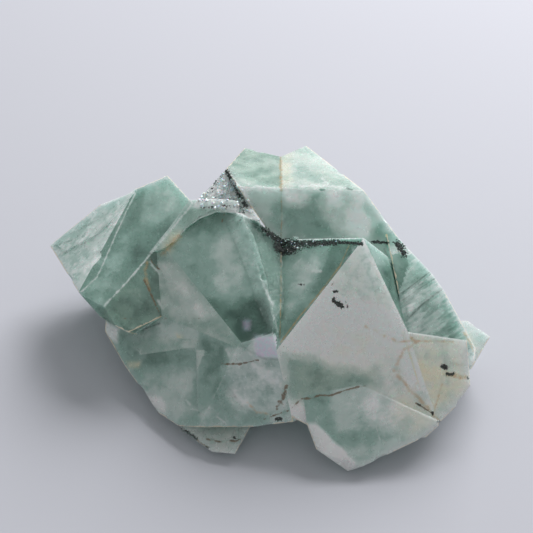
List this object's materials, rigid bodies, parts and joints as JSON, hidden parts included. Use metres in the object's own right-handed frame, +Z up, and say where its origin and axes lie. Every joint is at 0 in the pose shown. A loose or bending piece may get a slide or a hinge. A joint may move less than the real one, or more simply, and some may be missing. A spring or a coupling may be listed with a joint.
{
  "type": "fluorite specimen",
  "caption": "Green fluorite crystal cluster: intergrown octahedral crystals with flat faces and cleavage steps, resting on a flat cut base.",
  "frame": {"origin": "middle of the bounding box at the resting face", "axes": "+X along the specimen's width as seen from the front, +Y to the back, +Z up out of the resting face"},
  "size_m": [0.0516, 0.0412, 0.0186],
  "materials": {
    "fluorite": "translucent pale green, satin to frosted crystal faces"
  },
  "bodies": {
    "root": {"fluorite_cluster": "fluorite"}
  },
  "joints": []
}
